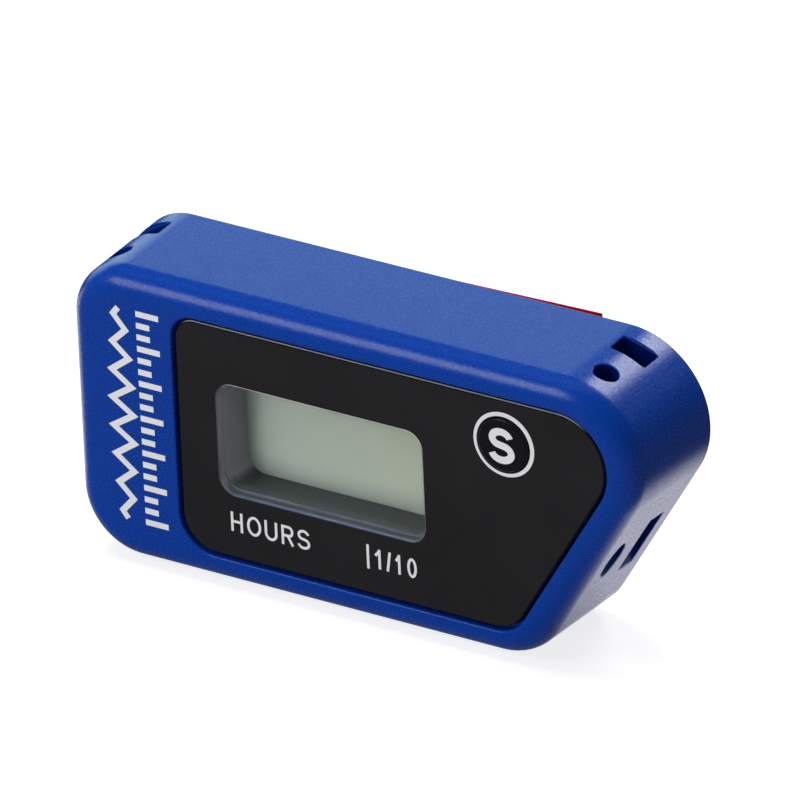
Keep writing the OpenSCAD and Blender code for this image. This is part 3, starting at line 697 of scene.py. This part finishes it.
# a slim wedge round a channel's mouth that breaks its edge
def mouthCutters(s):
    soft, inward, cutters = s["soft"], s["inward"], []
    for ring in channelRings():
        cx = sum(p[0] for p in ring) / len(ring)
        ct = sum(p[1] for p in ring) / len(ring)
        for top in (True, False):
            up = 1 if top else -1
            rows = []
            for x, t in ring:
                out = Vector((x - cx, t - ct)).normalized()
                wall = skinHeight(x, t, top)
                edge = skinHeight(x + out.x * soft, t + out.y * soft, top)
                away = skinHeight(x + out.x * 2 * soft, t + out.y * 2 * soft, top)
                rows.append([spot(x, wall - up * soft, t), spot(x + out.x * soft, edge, t + out.y * soft),
                             spot(x + out.x * 2 * soft, away + up * soft, t + out.y * 2 * soft),
                             spot(x - out.x * inward, wall + up * s["over"], t - out.y * inward),
                             spot(x - out.x * inward, wall - up * soft * s["under"], t - out.y * inward)])
            cutters.append(meshPiece("mouthCutter", wedge(rows)))
    return cutters


def wedge(rows):
    bm = bmesh.new()
    made = [[bm.verts.new(p) for p in row] for row in rows]
    for a, b in zip(made, made[1:] + made[:1]):
        for i in range(len(a)):
            j = (i + 1) % len(a)
            bm.faces.new((a[i], a[j], b[j], b[i]))
    return bm


# the set button, and the holes it runs in
buttonSetup = {"x": 17.05, "y": 7.4, "d": 5.4, "gap": 0.1, "rise": 0.3, "soft": 0.25, "softSteps": 6, "foot": 3.05,
               "flangeW": 0.9, "flangeT": 0.8, "flangeSoft": 0.08, "root": 0.1, "dish": 0.08,
               "dishAt": (0.25, 0.45, 0.6, 0.72, 0.8), "steps": 96, "sharp": 40,
               "caseSpan": (0.6, 3), "panelSpan": (-1, 2)}


def buttonBore(span):
    b = buttonSetup
    return bar("buttonBore", b["x"], b["y"], b["d"] / 2 + b["gap"], span)


def makeHousing(s):
    depth, edge, draft, steps = s["depth"], s["edge"], math.radians(s["draft"]), s["edgeSteps"]
    inner = edge * (math.tan(draft) - 1 / math.cos(draft))
    gap, floor = recessSetup["gap"], recessSetup["floor"]
    loops = [collarLine.loop(0, s["frontWall"]), collarLine.loop(0, floor), panelLine.loop(gap, floor)]
    loops += [panelLine.loop(gap + out, t) for out, t in quarterRound(s["rimSoft"])]
    for k in range(steps + 1):
        w = (math.pi / 2 - draft) * k / steps
        loops.append(bodyLine.loop(inner + edge * math.sin(w), edge * (1 - math.cos(w))))
    loops += [bodyLine.loop(sideGrow(depth) - out, depth - t) for out, t in quarterRound(s["backSoft"])]
    loops += [chamberLine.loop(s["lidGrow"], depth), chamberLine.loop(s["lidGrow"], s["lidSeat"]),
              chamberLine.loop(0, s["lidSeat"]), chamberLine.loop(0, s["frontWall"])]
    obj = meshPiece("moulded_case", skin(loops, True))
    b = bossSetup
    carve(obj, [bar("boss", x, y, b["r"], b["span"], b["steps"]) for x, y in b["at"]], "UNION")
    carve(obj, [bar("pilot", x, y, b["pilotR"], b["pilotSpan"], b["pilotSteps"]) for x, y in b["at"]])
    carve(obj, [buttonBore(buttonSetup["caseSpan"])] + channelCutters() + mouthCutters(mouthSetup))
    for face in obj.data.polygons:
        # channel walls take the darker blue of painted shade
        face.material_index = 1 if inChannel(face) else 0
    smoothEdges(obj, s["sharp"])
    steadyNormals(obj)
    dress(obj, caseBlue, channelShadeBlue)
    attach(obj, "case")
    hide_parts("housing")


makeHousing(caseShape)
print("case moulded")


# front sheet: black, with a broken edge, a hole for the button and a lined window that holds a clear pane
panelSetup = {"front": 0.25, "back": 1.05, "inset": 0.22, "bevel": 0.18, "crown": 0.3, "backSoft": 0.04,
              "lip": 0.09, "lipDrop": 0.4, "foot": 0.42, "lining": 1.28, "liningT": 0.3,
              "pane": (0.3, 0.55), "paneGrow": 0.2, "paneSoft": 0.05, "sharp": 28}


def makePanel(s):
    f, b, e, i, soft = s["front"], s["back"], s["bevel"], s["inset"], s["backSoft"]
    crown = s["crown"] * e
    loops = [windowLine.loop(s["liningT"], b), panelLine.loop(-i - soft, b), panelLine.loop(-i, b - soft),
             panelLine.loop(-i, f + e), panelLine.loop(-i - crown, f + crown), panelLine.loop(-i - e, f),
             windowLine.loop(s["lip"], f), windowLine.loop(0, f + s["lipDrop"] * s["lip"]),
             windowLine.loop(0, f + s["foot"]), windowLine.loop(0, s["lining"]),
             windowLine.loop(s["liningT"], s["lining"])]
    # slots, band by band: 0 sheet, 1 bevel, 2 lip, 3 foot of the lip, 4 lining
    obj = meshPiece("front_sheet", skin(loops, True, [0, 0, 0, 1, 1, 0, 2, 3, 4, 4, 4]))
    carve(obj, [buttonBore(buttonSetup["panelSpan"])])
    smoothEdges(obj, s["sharp"])
    steadyNormals(obj)
    dress(obj, panelBlack, panelEdge, windowLip, windowFoot, frameGrey)
    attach(obj, "case")
    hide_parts("front_panel")
    (near, far), grow, soft = s["pane"], s["paneGrow"], s["paneSoft"]
    loops = [windowLine.loop(grow - soft, near), windowLine.loop(grow, near + soft),
             windowLine.loop(grow, far - soft), windowLine.loop(grow - soft, far)]
    pane = meshPiece("window_pane", skin(loops), s["sharp"])
    dress(pane, windowClear)
    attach(pane, "case")


makePanel(panelSetup)


def makeButton(s):
    r, soft, top = s["d"] / 2, s["soft"], panelSetup["front"] - s["rise"]
    profile = [(0, top + s["dish"])]
    profile += [(r * q, top + s["dish"] * (1 - q ** 3)) for q in s["dishAt"]]
    for k in range(s["softSteps"] + 1):
        w = math.radians(90 * k / s["softSteps"])
        profile.append((r - soft + soft * math.sin(w), top + soft * (1 - math.cos(w))))
    foot, wide, trim, root = s["foot"], r + s["flangeW"], s["flangeSoft"], s["root"]
    under = foot - s["flangeT"]
    profile += [(r, under - root), (r + root, under), (wide - trim, under), (wide, under + trim),
                (wide, foot - trim), (wide - trim, foot), (0, foot)]
    obj = lathe("set_cap", s["x"], s["y"], profile, s["steps"], s["sharp"])
    steadyNormals(obj)
    dress(obj, buttonBlack)
    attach(obj, "button")
    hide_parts("set_button")


makeButton(buttonSetup)
print("panel and button fitted")


# thin raised print, drawn as strokes on the face
printSetup = {"thick": 0.02, "layer": 0.004,
              "ring": {"outer": 3.3, "inner": 2.92, "shift": (-0.06, -0.05), "steps": 96},
              "stroke": 0.275, "low": -9.17, "high": -7.12, "bar": (1.48, -9.38, -6.85),
              "setBox": (15.48, 5.5, 18.36, 9.16), "setStroke": 0.74, "setSink": 0.7,
              "hours": (("H", -13.72, -12.4), ("O", -11.93, -10.36), ("U", -9.97, -8.55), ("R", -8.1, -6.72),
                        ("S", -6.36, -4.93)),
              "tenth": (("1", 2.14, 3.0), ("/", 3.48, 4.05), ("1", 4.42, 5.14), ("0", 5.81, 6.86))}


def bow(cx, cy, rx, ry, start, end, steps=18):
    return [(cx + rx * math.cos(w), cy + ry * math.sin(w))
            for w in (math.radians(start + (end - start) * k / steps) for k in range(steps + 1))]


# strokes of each sign in a unit box; a closed stroke ends where it starts
signStrokes = {
    "H": [[(0, -1), (0, 2)], [(1, -1), (1, 2)], [(0, 0.52), (1, 0.52)]],
    "O": [bow(0.5, 0.5, 0.5, 0.5, 0, 360, 48)],
    "0": [bow(0.5, 0.5, 0.5, 0.5, 0, 360, 48)],
    "U": [[(0, 2)] + bow(0.5, 0.36, 0.5, 0.36, 180, 360) + [(1, 2)]],
    "R": [[(0, -1), (0, 2)], [(0, 1)] + bow(0.62, 0.74, 0.34, 0.26, 90, -90) + [(0, 0.48)], [(0.5, 0.48), (1, -1)]],
    "S": [bow(0.5, 0.755, 0.45, 0.245, 12, 238) + bow(0.5, 0.26, 0.5, 0.26, 62, -168)],
    "1": [[(0.82, -1), (0.82, 2)], [(0.82, 0.98), (0.05, 0.68)]],
    "/": [[(0, -1), (1, 2)]],
}


def printPiece(name, bm, body):
    obj = meshPiece(name, bm)
    dress(obj, printWhite)
    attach(obj, body)


# raises a flat print off the face it lies on
def thicken(bm):
    made = bmesh.ops.extrude_face_region(bm, geom=bm.faces[:])["geom"]
    shift = Vector((0, -printSetup["thick"] * mm, 0))
    bmesh.ops.translate(bm, verts=[g for g in made if isinstance(g, bmesh.types.BMVert)], vec=shift)


# a flat ribbon along a line of points, of the given width, with mitred bends
def ribbon(bm, points, width, t, mitre=0.55):
    points = [Vector(p) for p in points]
    closed = (points[0] - points[-1]).length < 1e-6
    points = points[:-1] if closed else points
    left, right = [], []
    n = len(points)
    for i, p in enumerate(points):
        a = points[(i - 1) % n] if closed or i > 0 else 2 * p - points[i + 1]
        b = points[(i + 1) % n] if closed or i < n - 1 else 2 * p - points[i - 1]
        way = ((p - a).normalized() + (b - p).normalized()).normalized()
        side = Vector((-way.y, way.x)) * width / 2 / max(mitre, way.dot((b - p).normalized()))
        left.append(bm.verts.new(spot(p.x + side.x, p.y + side.y, t)))
        right.append(bm.verts.new(spot(p.x - side.x, p.y - side.y, t)))
    for i in range(n if closed else n - 1):
        j = (i + 1) % n
        bm.faces.new((left[i], right[i], right[j], left[j]))


# rounds the bends of a line by cutting its corners
def evenOut(points, rounds=2):
    for _ in range(rounds):
        cut = [points[0]]
        for p, q in zip(points, points[1:]):
            cut += [(0.75 * p[0] + 0.25 * q[0], 0.75 * p[1] + 0.25 * q[1]),
                    (0.25 * p[0] + 0.75 * q[0], 0.25 * p[1] + 0.75 * q[1])]
        points = cut + [points[-1]]
    return points


# heights of -1 and 2 stand for strokes that run out to the box's foot and head
def sign(bm, key, left, low, right, high, stroke, t):
    h = stroke / 2

    def place(u, v):
        y = low if v == -1 else high if v == 2 else low + h + v * (high - low - stroke)
        return left + h + u * (right - left - stroke), y

    for k, path in enumerate(signStrokes[key]):
        points = [place(u, v) for u, v in path]
        ribbon(bm, evenOut(points) if key == "S" else points, stroke, t - printSetup["layer"] * k)


def makePanelPrint(s):
    t, b, ring = panelSetup["front"], buttonSetup, s["ring"]
    steps, (right, up) = ring["steps"], ring["shift"]
    bm = bmesh.new()
    rows = [[bm.verts.new(p) for p in loop] for loop in (
        roundLoop(b["x"], b["y"], ring["outer"], t, steps),
        roundLoop(b["x"] + right, b["y"] + up, ring["inner"], t, steps))]
    for i in range(steps):
        j = (i + 1) % steps
        bm.faces.new((rows[0][i], rows[0][j], rows[1][j], rows[1][i]))
    thicken(bm)
    printPiece("button_ring", bm, "case")
    for name, row in (("unit_legend", s["hours"]), ("tenth_legend", s["tenth"])):
        bm = bmesh.new()
        for key, left, right in row:
            sign(bm, key, left, s["low"], right, s["high"], s["stroke"], t)
        if name == "tenth_legend":
            x, low, high = s["bar"]
            ribbon(bm, [(x, low), (x, high)], s["stroke"], t)
        thicken(bm)
        printPiece(name, bm, "case")
    bm = bmesh.new()
    sign(bm, "S", *s["setBox"], s["setStroke"], t - b["rise"] + b["dish"] * s["setSink"])
    thicken(bm)
    printPiece("set_letter", bm, "button")


makePanelPrint(printSetup)


# plain marks at the left of the case: a shaking trace and a row of ticks
markSetup = {"trace": {"x": -25.15, "reach": 1.15, "least": 0.45, "low": -10.6, "high": 11.6, "swings": 15,
                       "stroke": 0.62},
             "ticks": {"left": -23.2, "short": 1.5, "long": 2.55, "every": 3, "count": 19, "low": -10.5,
                       "high": 11.4, "stroke": 0.6}}


def makeMarks(s):
    a = s["trace"]
    bm = bmesh.new()
    points = [(a["x"], a["low"])]
    for k in range(a["swings"]):
        q = (k + 0.5) / a["swings"]
        swing = (a["least"] + (1 - a["least"]) * math.sin(math.pi * q)) * (1 if k % 2 else -1)
        points.append((a["x"] + a["reach"] * swing, a["low"] + (a["high"] - a["low"]) * q))
    ribbon(bm, points + [(a["x"], a["high"])], a["stroke"], 0.0)
    thicken(bm)
    printPiece("shake_trace", bm, "case")
    b = s["ticks"]
    bm = bmesh.new()
    for k in range(b["count"]):
        y = b["low"] + (b["high"] - b["low"]) * k / (b["count"] - 1)
        run = b["short"] if k % b["every"] else b["long"]
        ribbon(bm, [(b["left"], y), (b["left"] + run, y)], b["stroke"], 0.0)
    thicken(bm)
    printPiece("tick_row", bm, "case")


makeMarks(markSetup)
print("print laid")


# back cover: flat lid with a broken edge, let into the case's rim
coverSetup = {"front": 12.3, "back": 13.5, "grow": 1.0, "bevel": 0.18, "lead": 0.1, "sharp": 28}


def makeCover(s):
    front, grow, lead = s["front"], s["grow"], s["lead"]
    loops = [chamberLine.loop(grow - lead, front), chamberLine.loop(grow, front + lead)]
    loops += [chamberLine.loop(grow - out, s["back"] - t) for out, t in quarterRound(s["bevel"])]
    obj = meshPiece("back_lid", skin(loops), s["sharp"])
    steadyNormals(obj)
    dress(obj, caseBlue)
    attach(obj, "case")
    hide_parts("back_cover")


makeCover(coverSetup)


# foam pad: die-cut sides that pull in a little and waver, under the red liner
foamSetup = {"y": 1.85, "w": 37.7, "h": 24.2, "turn": 1.4, "front": 13.5, "back": 14.5, "pull": 0.16, "belly": 0.7,
             "waver": 0.05, "waves": (1.7, 2.1, 0.63, 9), "cornerRun": 0.8, "levels": 8, "steps": 48, "sharp": 40}


def makeFoam(s):
    turn, steps = math.radians(s["turn"]), s["steps"]
    fast, bySide, slow, byDepth = s["waves"]
    loops = []
    for k in range(s["levels"] + 1):
        q = k / s["levels"]
        waist = s["pull"] * math.sin(math.pi * q) ** s["belly"]
        loop = []
        for side in range(4):
            w, h = (s["w"], s["h"]) if side % 2 == 0 else (s["h"], s["w"])
            for i in range(steps):
                u = -w / 2 + w * i / steps
                wave = math.sin(fast * u + bySide * side) * math.cos(slow * u + byDepth * q)
                inset = waist + s["waver"] * (0.5 + 0.5 * wave)
                ends = min(1.0, (w / 2 - abs(u)) / s["cornerRun"])  # the corners stay where they are
                x, y = Matrix.Rotation(-side * math.pi / 2, 2) @ Vector((u, h / 2 - inset * ends))
                loop.append(spot(x * math.cos(turn) - y * math.sin(turn),
                                 s["y"] + x * math.sin(turn) + y * math.cos(turn),
                                 s["front"] + (s["back"] - s["front"]) * q))
        loops.append(loop)
    obj = meshPiece("foam_pad", skin(loops), s["sharp"])
    dress(obj, mouldedFinish("foamGrey", (0.5, 0.5, 0.51), 0.9, 0.25, 2500.0, 0.7, 0.0001))
    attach(obj, "case")
    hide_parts("mounting_foam")


makeFoam(foamSetup)
print("back closed and taped")


# display: a grey-green film with soft painted shade towards its left and bottom walls
displaySetup = {"mid": (0.262, 0.273, 0.25), "warm": (0.282, 0.282, 0.225), "edge": (0.16, 0.163, 0.16),
                "left": (-16.0, -13.6), "low": (-8.2, -4.4), "across": (-12.0, 8.0), "acrossShare": 0.8,
                "patchScale": 60.0, "rough": (0.3, 0.38), "specular": 0.05}


def makeDisplayFinish(s):
    f = Finish("displayFilm")
    haze = f.effect(handlingHaze, Patch_Scale=s["patchScale"])
    axes = splitAxes(f.tree, objectSpace(f.tree))
    left, low, across = ([at * mm for at in s[key]] for key in ("left", "low", "across"))
    # painted shade: the edge tone by the left and bottom walls, the film's own tones in the middle
    middle = mathNode(f.tree, "MULTIPLY", softStep(f.tree, axes["X"], 0.0, 1.0, *left),
                      softStep(f.tree, axes["Z"], 0.0, 1.0, *low))
    tone = blend(f.tree, spread(f.tree, axes["X"], 0.0, 1.0, *across), haze["Haze"], s["acrossShare"])
    f.feed("Base Color", f.colour(middle, s["edge"], f.colour(tone, s["mid"], s["warm"])))
    f.feed("Roughness", spread(f.tree, haze["Wipe"], *s["rough"]))
    f.plain(Specular_IOR_Level=s["specular"])
    return f


displayFilm = makeDisplayFinish(displaySetup)


# carried-over solids and their finishes
nodeFinishes = {
    "panel_film": filmBlack, "lcd_frame": frameGrey, "lcd_polariser": displayFilm, "lcd_front_glass": displayGlass,
    "lcd_rear_glass": displayGlass,
    "lcd_reflector": metalFinish("foilMatte", (0.7, 0.7, 0.68), 0.5),
    "contact_strips": mouldedFinish("contactRubber", (0.4, 0.38, 0.36), 0.7, 0.3, 9000.0),
    "circuit_board": glossFinish("boardGreen", (0.02, 0.16, 0.06), 0.25, 0.25),
    "switch_base": mouldedFinish("switchBlack", (0.03, 0.03, 0.03), 0.5),
    "coin_cell": metalFinish("cellSteel", (0.65, 0.66, 0.67), 0.25),
    "controller_blob": mouldedFinish("blobResin", (0.015, 0.015, 0.015), 0.3, 0.2, 1500.0),
    "chip_parts": mouldedFinish("chipCeramic", (0.4, 0.3, 0.22), 0.6, 0.2),
    "sensor_pin": metalFinish("pinGold", (0.72, 0.55, 0.25), 0.25),
    "cover_seal": mouldedFinish("sealRubber", (0.03, 0.03, 0.03), 0.8, 0.25),
    "tape_liner": glossFinish("linerRed", (0.85, 0.002, 0.012), 0.4, 0.08, 0.08),
    "sensor_plug": mouldedFinish("plugBlack", (0.05, 0.05, 0.05), 0.6),
}
steel = metalFinish("platedSteel", (0.62, 0.62, 0.63), 0.3)
for name in ("board_screws", "switch_plate", "switch_dome", "switch_legs", "cell_tab_positive", "cell_tab_negative",
             "clock_crystal", "sensor_can", "sensor_coil"):
    nodeFinishes[name] = steel
nodeFinishes["switch_plunger"] = nodeFinishes["switch_base"]
for name, finish in nodeFinishes.items():
    dress(nodes[name], finish)
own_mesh(nodes["switch_dome"])
print("inner pieces dressed")
